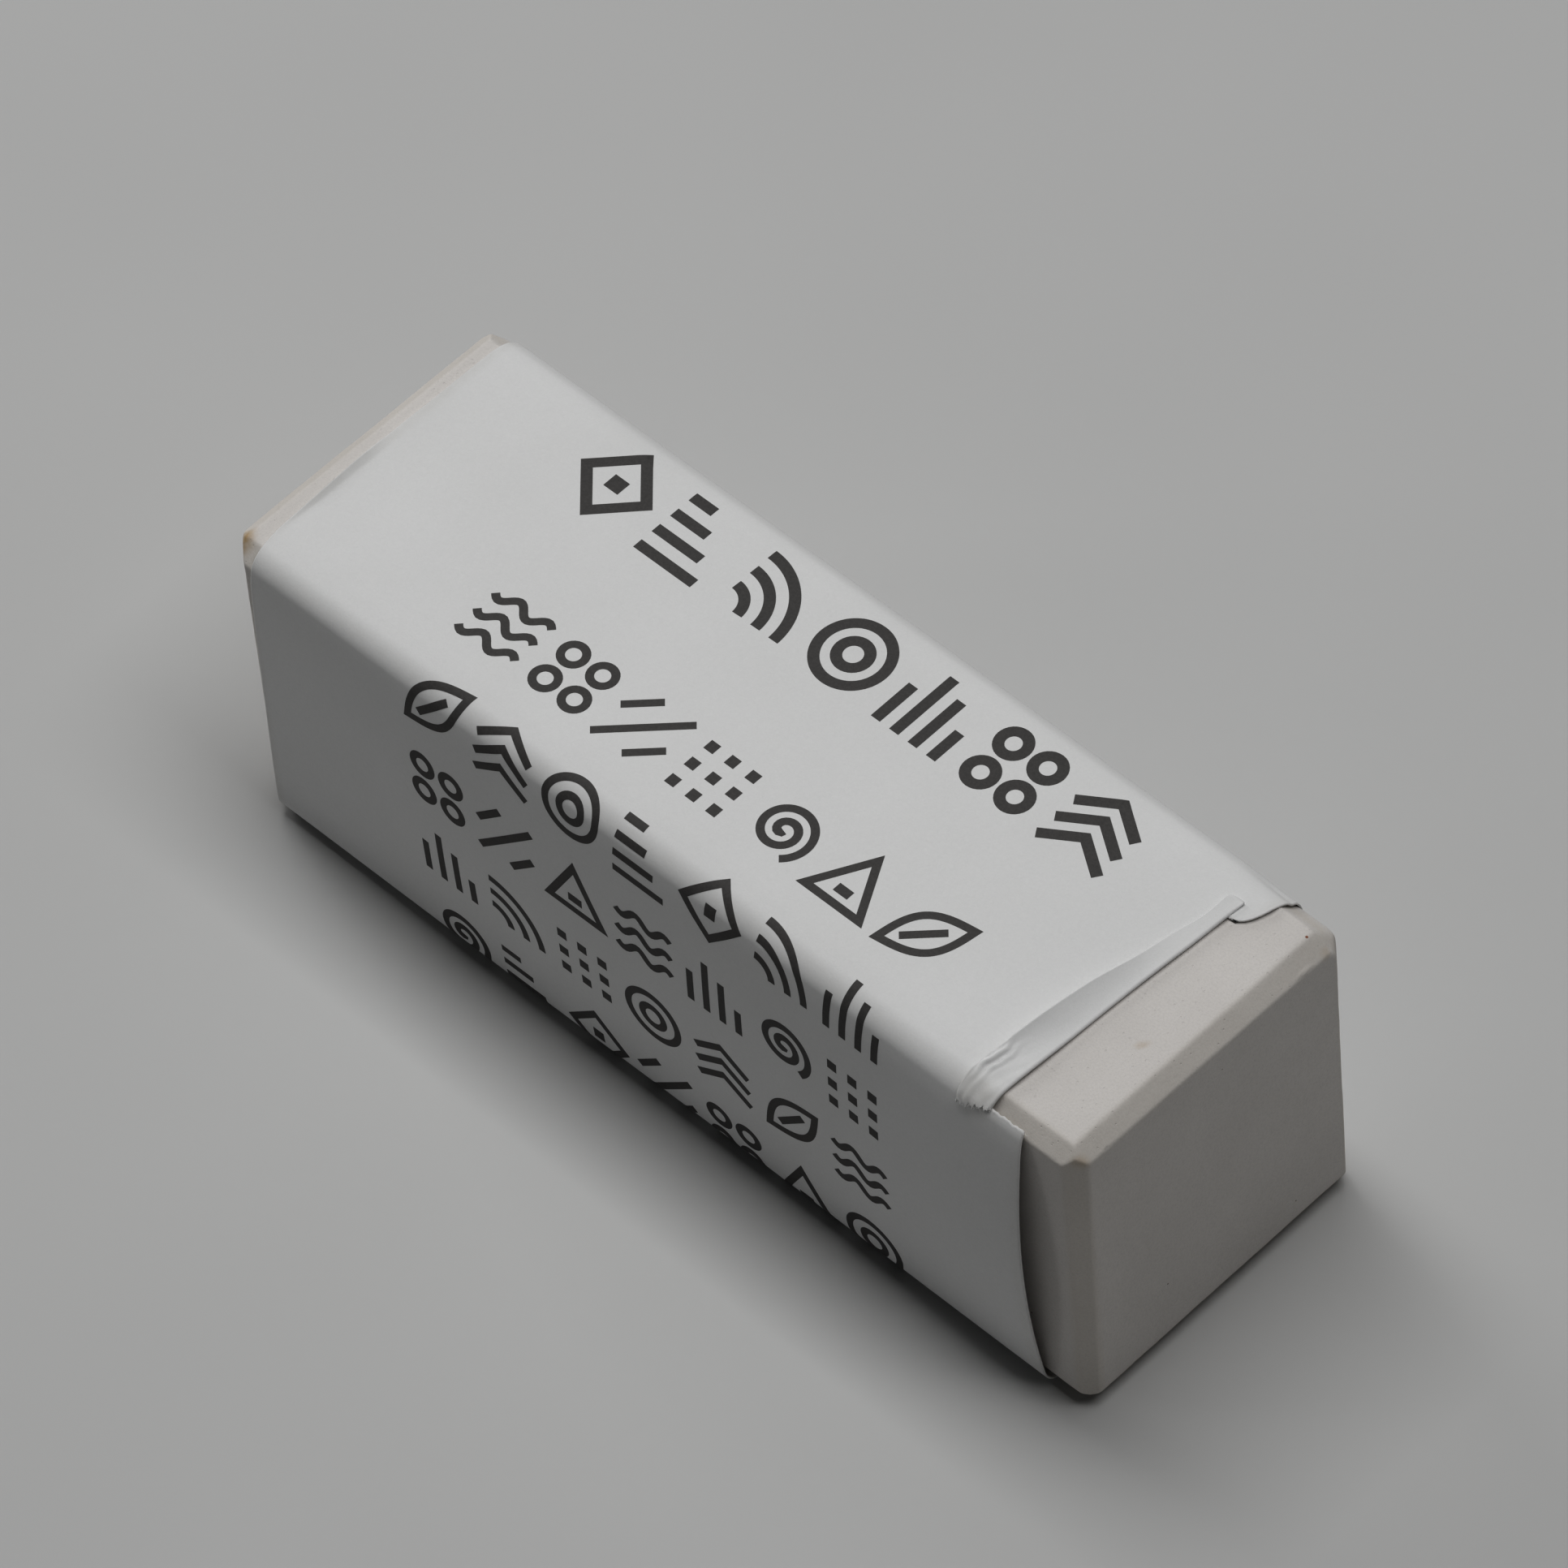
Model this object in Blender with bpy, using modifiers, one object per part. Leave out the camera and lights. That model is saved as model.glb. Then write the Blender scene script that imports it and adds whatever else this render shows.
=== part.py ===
"""A small dressing stone for sharpening stones, in its open-ended paper sleeve.

Three separate solids, in metres, +Z up:
  stone_block   a chamfered bar of fine abrasive
  paper_sleeve  one sheet wrapped round the bar's four long faces, its edges overlapping at the back
  seam_glue     the strip of paste between the sheet's two overlapping edges

The origin is at the centre of the sleeve's underside. +X runs along the bar towards the end that
sticks out of the sleeve, -Y faces the sleeve's front side, and the seam is on the +Y side. The
sleeve slides along X, so its section is the same all along it and stays clear of the bar.
"""

from math import cos, pi, sin

import bmesh
import bpy
from mathutils import Matrix

COLLECTION_NAME = "dressing_stone"

# Driving dimensions, in metres.
STONE_LENGTH = 0.0750
STONE_WIDTH = 0.0247
STONE_HEIGHT = 0.0259
STONE_CHAMFER = 0.00115

PAPER_THICKNESS = 0.0002
STONE_GAP = 0.0003             # between the bar and the flat parts of the sleeve
SLEEVE_FAR_X = -0.0349         # where the sheet ends at the covered end of the bar
SLEEVE_NEAR_X = 0.0335         # where it ends at the exposed end
SLEEVE_CORNER_RADIUS = 0.0015  # inner radius of the sheet's four long folds
FRONT_BOW = 0.0010             # how far the sheet stands away from the bar at mid-height
BACK_BOW = 0.0005

GLUE_THICKNESS = 0.0001
GLUE_GAP = 0.0001              # from the paste to each of the two sheets that it joins
SEAM_OVERLAP = 0.0080
SEAM_RAMP = 0.0030             # height below the overlap in which the outer flap steps out
GLUE_WIDTH = 0.0070
GLUE_END_MARGIN = 0.0010       # the paste stops this far inside the sheet's ends

ARC_STEPS = 6                  # facets in each long fold
SIDE_STEPS = 14                # facets up each bowed side
SEAM_STEPS = 6                 # facets across the overlap
RAMP_STEPS = 4                 # facets in the step of the outer flap

# Worked out from the driving dimensions.
HALF_WIDTH = STONE_WIDTH / 2 + STONE_GAP            # inner face of the sleeve's sides, at their edges
HALF_HEIGHT = STONE_HEIGHT / 2 + STONE_GAP          # inner face of the sleeve's top and underside
CENTRE_Z = HALF_HEIGHT + PAPER_THICKNESS            # so the sleeve's underside is at z = 0
SIDE_HALF = HALF_HEIGHT - SLEEVE_CORNER_RADIUS      # half the height of a side between its folds
SLEEVE_LENGTH = SLEEVE_NEAR_X - SLEEVE_FAR_X
SEAM_STEP = PAPER_THICKNESS + GLUE_THICKNESS + 2 * GLUE_GAP
RAMP_RISE = SEAM_RAMP * 2 / 3                       # the part of the ramp in which the flap steps out

STONE_LOOK = {"color": (0.60, 0.56, 0.49), "roughness": 0.90}
PAPER_LOOK = {"color": (0.84, 0.84, 0.82), "roughness": 0.75}
GLUE_LOOK = {"color": (0.80, 0.76, 0.66), "roughness": 0.40}


def clear_scene():
    """Remove the objects that the file opened with."""
    for obj in list(bpy.data.objects):
        bpy.data.objects.remove(obj, do_unlink=True)


def make_material(name, color, roughness):
    """A plain, non-metallic Principled material."""
    material = bpy.data.materials.new(name)
    material.use_nodes = True
    shader = material.node_tree.nodes["Principled BSDF"]
    shader.inputs["Base Color"].default_value = (*color, 1.0)
    shader.inputs["Roughness"].default_value = roughness
    shader.inputs["Metallic"].default_value = 0.0
    return material


def add_part(name, mesh_builder, collection, look):
    """Turn a bmesh into a named object in the part's collection, with a material of its own."""
    mesh = bpy.data.meshes.new(name)
    mesh_builder.to_mesh(mesh)
    mesh_builder.free()
    mesh.materials.append(make_material(name + "_material", **look))
    obj = bpy.data.objects.new(name, mesh)
    collection.objects.link(obj)
    return obj


def bow(height, depth):
    """How far a bowed side stands out at a height above the bar's centre line."""
    return depth * cos(pi / 2 * height / SIDE_HALF) ** 2


def smooth_step(fraction):
    """Rise from 0 to 1 with no slope at either end."""
    fraction = min(max(fraction, 0.0), 1.0)
    return fraction * fraction * (3 - 2 * fraction)


def spread(start, end, steps):
    """Evenly spaced values from start to end, both included."""
    return [start + (end - start) * i / steps for i in range(steps + 1)]


def back_point(height, lift=0.0):
    """A point (y, z) on the inner surface of the sleeve's back side, lifted outwards."""
    return (HALF_WIDTH + bow(height, BACK_BOW) + lift, CENTRE_Z + height)


def fold_points(side_y, side_z, start_angle):
    """A quarter turn round one long fold, anticlockwise when seen from the exposed end."""
    radius = SLEEVE_CORNER_RADIUS
    centre_y = side_y * (HALF_WIDTH - radius)
    centre_z = CENTRE_Z + side_z * (HALF_HEIGHT - radius)
    angles = spread(start_angle, start_angle + pi / 2, ARC_STEPS)
    return [(centre_y + radius * cos(a), centre_z + radius * sin(a)) for a in angles]


def sleeve_profile():
    """The sheet's inner surface, from the inner flap's edge round the bar to the outer flap's edge."""
    seam_half = SEAM_OVERLAP / 2
    ramp_start = -seam_half - SEAM_RAMP
    points = [back_point(h) for h in spread(-seam_half, SIDE_HALF, SIDE_STEPS)][:-1]
    points += fold_points(1, 1, 0.0)
    points += fold_points(-1, 1, pi / 2)
    points += [
        (-HALF_WIDTH - bow(h, FRONT_BOW), CENTRE_Z + h)
        for h in spread(SIDE_HALF, -SIDE_HALF, 2 * SIDE_STEPS)
    ][1:-1]
    points += fold_points(-1, -1, pi)
    points += fold_points(1, -1, 3 * pi / 2)
    points += [back_point(h) for h in spread(-SIDE_HALF, ramp_start, SEAM_STEPS)][1:]
    # The outer flap is fully stepped out before it reaches the inner flap's edge.
    for height in spread(ramp_start, ramp_start + RAMP_RISE, RAMP_STEPS)[1:]:
        rise = smooth_step((height - ramp_start) / RAMP_RISE)
        points.append(back_point(height, SEAM_STEP * rise))
    points += [back_point(h, SEAM_STEP) for h in spread(-seam_half, seam_half, SEAM_STEPS)]
    return points


def glue_profile():
    """The paste's inner surface, across the middle of the overlap."""
    lift = PAPER_THICKNESS + GLUE_GAP
    return [back_point(h, lift) for h in spread(-GLUE_WIDTH / 2, GLUE_WIDTH / 2, SEAM_STEPS)]


def swept_sheet(profile, start_x, length):
    """Sweep an open profile of (y, z) points along X into an open surface."""
    sheet = bmesh.new()
    verts = [sheet.verts.new((start_x, y, z)) for y, z in profile]
    edges = [sheet.edges.new(pair) for pair in zip(verts, verts[1:])]
    swept = bmesh.ops.extrude_edge_only(sheet, edges=edges)
    moved = [item for item in swept["geom"] if isinstance(item, bmesh.types.BMVert)]
    bmesh.ops.translate(sheet, verts=moved, vec=(length, 0, 0))
    return sheet


def point_outwards(sheet):
    """Turn the sheet's faces so that the underside's face looks down, away from the bar."""
    lowest = min(sheet.faces, key=lambda face: face.calc_center_median().z)
    lowest.normal_update()
    if lowest.normal.z > 0:
        bmesh.ops.reverse_faces(sheet, faces=sheet.faces)


def thicken(obj, thickness):
    """Give a sheet its thickness, outwards from the modelled surface."""
    solidify = obj.modifiers.new("thickness", "SOLIDIFY")
    solidify.thickness = thickness
    solidify.offset = 1.0
    solidify.use_even_offset = True
    solidify.use_rim = True


def build_stone(collection):
    """The bar, with a chamfer on each of its twelve edges."""
    bar = bmesh.new()
    size = Matrix.Diagonal((STONE_LENGTH, STONE_WIDTH, STONE_HEIGHT, 1.0))
    bmesh.ops.create_cube(bar, size=1.0, matrix=size)
    obj = add_part("stone_block", bar, collection, STONE_LOOK)
    obj.location = (0.0, 0.0, CENTRE_Z)
    chamfer = obj.modifiers.new("chamfer", "BEVEL")
    chamfer.width = STONE_CHAMFER
    chamfer.offset_type = "OFFSET"
    chamfer.segments = 1
    chamfer.limit_method = "NONE"
    return obj


def build_sleeve(collection):
    """The printed sheet, wrapped round the bar and lapped over itself on the back side."""
    sheet = swept_sheet(sleeve_profile(), SLEEVE_FAR_X, SLEEVE_LENGTH)
    point_outwards(sheet)
    obj = add_part("paper_sleeve", sheet, collection, PAPER_LOOK)
    thicken(obj, PAPER_THICKNESS)
    obj.data.shade_smooth()
    return obj


def build_glue(collection):
    """The strip of paste between the inner and the outer flap."""
    start_x = SLEEVE_FAR_X + GLUE_END_MARGIN
    strip = swept_sheet(glue_profile(), start_x, SLEEVE_LENGTH - 2 * GLUE_END_MARGIN)
    first = next(iter(strip.faces))
    first.normal_update()
    if first.normal.y < 0:
        bmesh.ops.reverse_faces(strip, faces=strip.faces)
    obj = add_part("seam_glue", strip, collection, GLUE_LOOK)
    thicken(obj, GLUE_THICKNESS)
    return obj


def main():
    clear_scene()
    collection = bpy.data.collections.new(COLLECTION_NAME)
    bpy.context.scene.collection.children.link(collection)
    build_stone(collection)
    build_sleeve(collection)
    build_glue(collection)


main()
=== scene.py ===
"""The finished look of a small dressing stone in its paper sleeve, built on its CAD frame.

The bar is remodelled with hand-ground chamfers, chips and stains. The sleeve is one sheet of paper,
laid out by two lengths: s, the distance round the bar from the middle of the top (s grows towards
the front, which is -Y), and x, the distance along the bar. Near the exposed end the sheet is torn
along both long edges of the top, and the torn strip is folded back over the top. The print is a
set of generic marks that follow the sheet, and the paste closes the seam on the back.
"""

from itertools import product
from math import pi, radians

import bmesh
import bpy
import numpy as np
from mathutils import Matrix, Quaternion, Vector, noise


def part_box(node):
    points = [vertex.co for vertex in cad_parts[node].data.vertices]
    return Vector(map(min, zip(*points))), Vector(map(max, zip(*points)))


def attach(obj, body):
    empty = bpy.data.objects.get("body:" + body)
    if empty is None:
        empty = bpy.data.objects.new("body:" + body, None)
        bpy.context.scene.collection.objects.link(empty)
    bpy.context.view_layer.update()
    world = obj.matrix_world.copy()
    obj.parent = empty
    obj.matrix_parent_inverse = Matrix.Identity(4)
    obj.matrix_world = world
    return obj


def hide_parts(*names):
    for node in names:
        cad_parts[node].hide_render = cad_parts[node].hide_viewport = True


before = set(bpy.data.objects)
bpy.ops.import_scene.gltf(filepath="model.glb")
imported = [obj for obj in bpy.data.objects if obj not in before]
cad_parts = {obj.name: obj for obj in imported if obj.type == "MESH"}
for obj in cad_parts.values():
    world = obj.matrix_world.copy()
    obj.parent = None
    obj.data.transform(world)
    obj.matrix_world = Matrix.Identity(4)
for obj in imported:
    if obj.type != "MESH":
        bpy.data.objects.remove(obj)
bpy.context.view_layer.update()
STONE_LOW, STONE_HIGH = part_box("stone_block")
SLEEVE_LOW, SLEEVE_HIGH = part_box("paper_sleeve")

MM = 0.001
SEED = 11

# Sheet of paper.
PAPER = 0.12 * MM          # thickness
SIDE_GAP = 0.15 * MM       # from the bar's sides to the sheet
TOP_GAP = 0.22 * MM        # from the bar's top to the sheet
FOLD_RADIUS = 1.50 * MM    # inner radius of the four long folds
SEAM_HALF = 4.0 * MM       # half the overlap, which is centred on the back
PASTE = 0.05 * MM
SEAM_STEP = PAPER + PASTE  # how far the outer flap stands out over the inner one
SEAM_RAMP = 2.5 * MM       # how far below the seam it starts to step out
BACK_BOW = 0.45 * MM

# Lengths round the sheet, from the middle of the top, at its inner surface.
TOP_Z = STONE_HIGH.z + TOP_GAP
HALF_WIDTH = STONE_HIGH.y + SIDE_GAP
TOP_HALF = HALF_WIDTH - FOLD_RADIUS     # flat half of the top
FOLD = pi / 2 * FOLD_RADIUS             # length of paper in one fold
SIDE = TOP_Z - PAPER - 2 * FOLD_RADIUS  # flat height of a side
FRONT_START = TOP_HALF + FOLD
FRONT_END = FRONT_START + SIDE
UNDER_START = FRONT_END + FOLD
UNDER_END = UNDER_START + 2 * TOP_HALF
BACK_START = UNDER_END + FOLD
OUTER_EDGE_S = BACK_START + SIDE / 2 + SEAM_HALF
INNER_EDGE_S = -(FRONT_START + SIDE / 2 + SEAM_HALF)

# The strip that is folded back at the exposed end. It is torn off the sheet at both of its ends, and
# at the back it reaches past its tear.
TAB_TEAR_S = -7.75 * MM
CORNER_TEAR_S = 12.55 * MM
STRIP_FROM_S = -9.15 * MM
STRIP_RADIUS = 0.16 * MM   # outside of its fold
STRIP_REST = 1.25 * PAPER  # how high its free end lies over the sheet

# Across the strip, in millimetres: (s, x) along its fold and its cut edge, and (s, height) of that edge.
FOLD_LINE = [(-9.2, 31.80), (-7.6, 31.62), (-4.5, 31.40), (-1.1, 31.15), (2.5, 30.94),
             (6.5, 30.78), (10.5, 30.58), (12.3, 30.45), (13.8, 30.25)]
CUT_LINE = [(-9.2, 30.62), (-6.9, 30.52), (-4.5, 30.05), (-1.3, 29.62), (1.5, 29.12),
            (4.9, 28.72), (7.3, 28.42), (9.1, 28.20), (11.3, 27.90), (12.8, 27.88), (13.8, 28.20)]
CUT_HEIGHT = [(-9.2, 0.40), (-7.5, 0.36), (-5.5, 0.36), (-3.0, 0.46), (0.0, 0.76), (3.0, 1.00),
              (5.2, 1.08), (7.2, 0.92), (8.6, 0.74), (10.5, 0.58), (12.2, 0.44), (13.8, 0.42)]

# Where the sheet ends, in millimetres: (s, x) at the tab and the back, at the front and the underside,
# and all along the covered end.
NEAR_EDGE = [(-30.0, 33.1), (-14.0, 33.35), (-11.3, 33.46), (-9.6, 33.22), (-9.0, 33.02),
             (-8.4, 32.72), (-8.0, 32.35), (-7.75, 31.85)]
FRONT_EDGE = [(12.5, 33.15), (14.0, 33.25), (20.0, 33.48), (28.0, 33.72), (36.0, 33.92), (42.0, 34.0),
              (55.0, 33.9), (66.0, 33.7), (80.5, 33.45)]
FAR_EDGE = [(-30.0, -34.8), (-14.0, -34.95), (-10.8, -35.05), (-4.0, -35.22), (0.0, -35.26),
            (2.5, -35.22), (5.0, -35.13), (8.0, -35.02), (9.5, -34.94), (11.5, -34.72), (13.0, -34.68),
            (16.0, -34.75), (26.0, -34.95), (36.0, -35.15), (50.0, -35.0), (80.5, -34.8)]


# -------- shared helpers

def smooth_line(points):
    """A smooth function through listed (input, output) points, both in millimetres."""
    ins, outs = np.array(points, float).T * MM
    slopes = np.gradient(outs, ins)

    def value(at):
        at = np.clip(np.asarray(at, float), ins[0], ins[-1])
        left = np.clip(np.searchsorted(ins, at) - 1, 0, len(ins) - 2)
        span = ins[left + 1] - ins[left]
        t = (at - ins[left]) / span
        return (
            outs[left] * (1 + 2 * t) * (1 - t) ** 2
            + slopes[left] * span * t * (1 - t) ** 2
            + outs[left + 1] * t * t * (3 - 2 * t)
            + slopes[left + 1] * span * t * t * (t - 1)
        )

    return value


def ease(value, start, end):
    """0 before start, 1 after end, and a smooth rise between."""
    t = np.clip((np.asarray(value, float) - start) / (end - start), 0, 1)
    return t * t * (3 - 2 * t)


def hump(value, centre, half_width):
    """1 at the centre, falling smoothly to 0 at half_width on either side."""
    away = np.abs(np.asarray(value, float) - centre) / half_width
    return np.cos(pi / 2 * np.clip(away, 0, 1)) ** 2


def waver(value, *waves):
    """A sum of sine waves, each given as (size, rate, phase)."""
    return sum(size * np.sin(value * rate + phase) for size, rate, phase in waves)


def graded(start, end, stops):
    """Stations from start to end whose spacing follows stops, a list of (place, spacing)."""
    places, gaps = np.array(stops, float).T
    stations = [start]
    while stations[-1] < end:
        stations.append(stations[-1] + float(np.interp(stations[-1], places, gaps)))
    stations = np.array(stations)
    return start + (stations - start) * (end - start) / (stations[-1] - start)


def perlin(points, scale, seed):
    """Perlin noise in -1..1 at many points; scale is the size of its lumps in metres."""
    shift = Vector((seed * 7.31, seed * 3.17, seed * 5.77))
    return np.array([noise.noise(Vector(p) / scale + shift) for p in points])


def point_attribute(mesh, name, values):
    """Store a value for each vertex, for the material to read."""
    attribute = mesh.attributes.new(name, "FLOAT", "POINT")
    attribute.data.foreach_set("value", values.astype(np.float32))


def new_mesh(name, points, faces):
    mesh = bpy.data.meshes.new(name)
    mesh.from_pydata(points, [], faces)
    mesh.update()
    return mesh


def rework(mesh, change):
    """Change a mesh through a bmesh."""
    work = bmesh.new()
    work.from_mesh(mesh)
    change(work)
    work.to_mesh(mesh)
    work.free()


def new_piece(name, mesh, material, body):
    """Link a finished mesh as a piece of the object, riding on a CAD body."""
    piece = bpy.data.objects.new(name, mesh)
    bpy.context.scene.collection.objects.link(piece)
    mesh.materials.append(material)
    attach(piece, body)
    return piece


def thicken(piece, amount):
    """Give a sheet its thickness, outwards from its modelled surface."""
    thickness = piece.modifiers.new("thickness", "SOLIDIFY")
    thickness.thickness = amount
    thickness.offset = 1.0
    thickness.use_rim = True


class Sheets:
    """A mesh made of grids of points, some of which share an edge."""

    def __init__(self):
        self.points = []
        self.faces = []

    def add_points(self, grid):
        """Store a grid of points (rows, columns, 3) and return the numbers of its vertices."""
        first = len(self.points)
        self.points.extend(grid.reshape(-1, 3).tolist())
        return first + np.arange(grid.shape[0] * grid.shape[1]).reshape(grid.shape[:2])

    def add_faces(self, numbers):
        """Join a grid of vertex numbers into quads that face the way of rows x columns."""
        corners = np.stack([numbers[:-1, :-1], numbers[1:, :-1], numbers[1:, 1:], numbers[:-1, 1:]], -1)
        self.faces.extend(corners.reshape(-1, 4).tolist())

    def mesh(self, name):
        return new_mesh(name, self.points, self.faces)


# -------- materials

SPECK_CORE = 0.6  # share of a speck's radius that is fully dark


class Nodes:
    """Short-hand for wiring a Principled material."""

    def __init__(self, name):
        self.material = bpy.data.materials.new(name)
        self.material.use_nodes = True
        self.tree = self.material.node_tree
        self.shader = self.tree.nodes["Principled BSDF"]
        self.coords = self.add("TexCoord").outputs["Object"]

    def fill(self, socket, value):
        """Set a socket to a number or a colour, or link another node's output to it."""
        if isinstance(value, tuple):
            socket.default_value = (*value, 1.0)
        elif isinstance(value, (int, float)):
            socket.default_value = value
        else:
            self.tree.links.new(value, socket)

    def add(self, kind, **values):
        """A new node, with some of its inputs filled in by name."""
        node = self.tree.nodes.new("ShaderNode" + kind)
        for name, value in values.items():
            self.fill(node.inputs[name], value)
        return node

    def noise(self, size, detail=3.0, roughness=0.55, distortion=0.0):
        """Noise whose lumps are about size metres across."""
        node = self.add("TexNoise", Vector=self.coords, Scale=1.0 / size, Detail=detail,
                        Roughness=roughness, Distortion=distortion)
        return node.outputs["Fac"]

    def specks(self, size, radius):
        """1 inside sparse round specks, one for each cell of that size, and 0 elsewhere."""
        cells = self.add("TexVoronoi", Vector=self.coords, Scale=1.0 / size)
        return self.ramp(cells.outputs["Distance"], [(radius * SPECK_CORE, 1.0), (radius, 0.0)])

    def ramp(self, source, stops):
        """Map a value through (place, value) or (place, colour) stops."""
        node = self.add("ValToRGB", Fac=source)
        elements = node.color_ramp.elements
        while len(elements) < len(stops):
            elements.new(0.5)
        for element, (place, value) in zip(elements, stops):
            element.position = place
            colour = value if isinstance(value, tuple) else (value, value, value)
            element.color = (*colour, 1.0)
        return node.outputs["Color"]

    def math(self, operation, first, second):
        node = self.add("Math")
        node.operation = operation
        self.fill(node.inputs[0], first)
        self.fill(node.inputs[1], second)
        return node.outputs["Value"]

    def mix(self, amount, first, second, blend="MIX"):
        """Blend two colours. A colour Mix node keeps its factor and colours in sockets 0, 6 and 7."""
        node = self.add("Mix")
        node.data_type = "RGBA"
        node.blend_type = blend
        for number, value in zip((0, 6, 7), (amount, first, second)):
            self.fill(node.inputs[number], value)
        return node.outputs[2]

    def attribute(self, name):
        node = self.add("Attribute")
        node.attribute_name = name
        return node.outputs["Fac"]

    def bump(self, height, distance, under=None):
        """Bump of a real depth in metres, on top of another bump if one is given."""
        node = self.add("Bump", Distance=distance, Strength=1.0, Height=height)
        if under is not None:
            self.fill(node.inputs["Normal"], under)
        return node.outputs["Normal"]

    def finish(self, color, roughness, normal=None, specular=0.5):
        self.fill(self.shader.inputs["Base Color"], color)
        self.fill(self.shader.inputs["Roughness"], roughness)
        self.fill(self.shader.inputs["Specular IOR Level"], specular)
        if normal is not None:
            self.fill(self.shader.inputs["Normal"], normal)
        return self.material


def stone_material():
    """Fine, slightly porous cream abrasive: even grain, faint clouds, pits, specks and stains."""
    nodes = Nodes("dressing_stone")
    clouds = nodes.noise(9 * MM, detail=4.0)
    base = nodes.ramp(clouds, [(0.3, (0.700, 0.675, 0.650)), (0.7, (0.750, 0.725, 0.700))])
    grain = nodes.noise(0.16 * MM, detail=4.0, roughness=0.7)
    grain_tone = nodes.ramp(grain, [(0.25, 0.90), (0.5, 0.985), (0.75, 1.03)])
    color = nodes.mix(1.0, base, grain_tone, blend="MULTIPLY")
    color = nodes.mix(nodes.specks(3.4 * MM, 0.022), color, (0.16, 0.13, 0.10))
    color = nodes.mix(nodes.specks(7.3 * MM, 0.016), color, (0.30, 0.12, 0.07))
    worn = nodes.math("MULTIPLY", nodes.attribute("worn"), 0.18)
    color = nodes.mix(worn, color, (0.58, 0.52, 0.42))
    stain = nodes.math("MULTIPLY", nodes.attribute("stain"), nodes.noise(0.7 * MM, detail=4.0))
    color = nodes.mix(nodes.math("MULTIPLY", stain, 1.5), color, (0.46, 0.33, 0.18))
    pits = nodes.math("MULTIPLY", nodes.specks(0.55 * MM, 0.12), -1.0)
    normal = nodes.bump(grain, 0.016 * MM)
    normal = nodes.bump(nodes.noise(1.1 * MM), 0.03 * MM, under=normal)
    normal = nodes.bump(pits, 0.02 * MM, under=normal)
    rough = nodes.ramp(grain, [(0.2, 0.97), (0.8, 0.84)])
    return nodes.finish(color, rough, normal, specular=0.25)


def paper_material():
    """Uncoated white paper: a fine felt of fibres, faint cockling, and a little grime on the folds."""
    nodes = Nodes("wrapper_paper")
    clouds = nodes.noise(14 * MM)
    base = nodes.ramp(clouds, [(0.3, (0.775, 0.775, 0.770)), (0.7, (0.800, 0.800, 0.797))])
    fibres = nodes.noise(0.22 * MM, detail=5.0, roughness=0.65, distortion=1.2)
    fibre_tone = nodes.ramp(fibres, [(0.3, 0.965), (0.7, 1.015)])
    color = nodes.mix(1.0, base, fibre_tone, blend="MULTIPLY")
    grime = nodes.math("MULTIPLY", nodes.attribute("handled"), nodes.noise(0.9 * MM, detail=5.0))
    color = nodes.mix(nodes.math("MULTIPLY", grime, 0.55), color, (0.60, 0.58, 0.54))
    normal = nodes.bump(fibres, 0.010 * MM)
    normal = nodes.bump(nodes.noise(2.2 * MM, detail=2.0), 0.02 * MM, under=normal)
    rough = nodes.ramp(fibres, [(0.3, 0.88), (0.7, 0.78)])
    return nodes.finish(color, rough, normal, specular=0.3)


def ink_material():
    """Dark grey printing ink that has sunk into the paper and lets a little of its felt show."""
    nodes = Nodes("printing_ink")
    fibres = nodes.noise(0.20 * MM, detail=4.0, roughness=0.65)
    color = nodes.ramp(fibres, [(0.3, (0.082, 0.079, 0.077)), (0.75, (0.118, 0.114, 0.111))])
    normal = nodes.bump(fibres, 0.006 * MM)
    rough = nodes.ramp(fibres, [(0.3, 0.62), (0.7, 0.74)])
    return nodes.finish(color, rough, normal, specular=0.35)


def paste_material():
    """Dried paste: yellowish, uneven and slightly glossy."""
    nodes = Nodes("dried_paste")
    lumps = nodes.noise(0.8 * MM)
    color = nodes.ramp(lumps, [(0.3, (0.66, 0.60, 0.46)), (0.7, (0.76, 0.71, 0.58))])
    normal = nodes.bump(lumps, 0.02 * MM)
    rough = nodes.ramp(lumps, [(0.3, 0.35), (0.7, 0.55)])
    return nodes.finish(color, rough, normal)


def floor_material():
    """A plain pale matte surface."""
    nodes = Nodes("studio_floor")
    haze = nodes.noise(60 * MM, detail=2.0)
    color = nodes.ramp(haze, [(0.3, (0.59, 0.59, 0.585)), (0.7, (0.61, 0.61, 0.605))])
    return nodes.finish(color, 0.9, specular=0.2)


# -------- the bar

CHAMFER = 1.15 * MM          # about how wide a chamfer is
EDGE_ROUNDING = 0.06 * MM
CHAMFER_WOBBLE = 0.05 * MM   # slow unevenness of its width
CHAMFER_TREMOR = 0.025 * MM  # and a finer one on top

# Where a tip is cut off, from the corner of the full box, and how soft the cut's edge is.
CORNER_CUT, CORNER_ROUNDING = 0.98 * MM, 1.6 * EDGE_ROUNDING
WORN_CORNER_CUT, WORN_CORNER_ROUNDING = 1.74 * MM, 2.6 * EDGE_ROUNDING

TOP_CHIPS = 26      # along the chamfer above the exposed end
UPRIGHT_CHIPS = 16  # along the upright chamfer at its front

# The lattice of the bar's surface: its cells' size at the edges, at the end of a band along them, and
# on the faces in x, y and z.
EDGE_BAND = 2.4 * MM
EDGE_CELL = 0.11 * MM
BAND_CELL = 0.13 * MM
FACE_CELLS = (0.85 * MM, 0.60 * MM, 0.60 * MM)
BAND_BLEND = 2.0 * MM  # over which the cells grow from the band to the face

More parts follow.
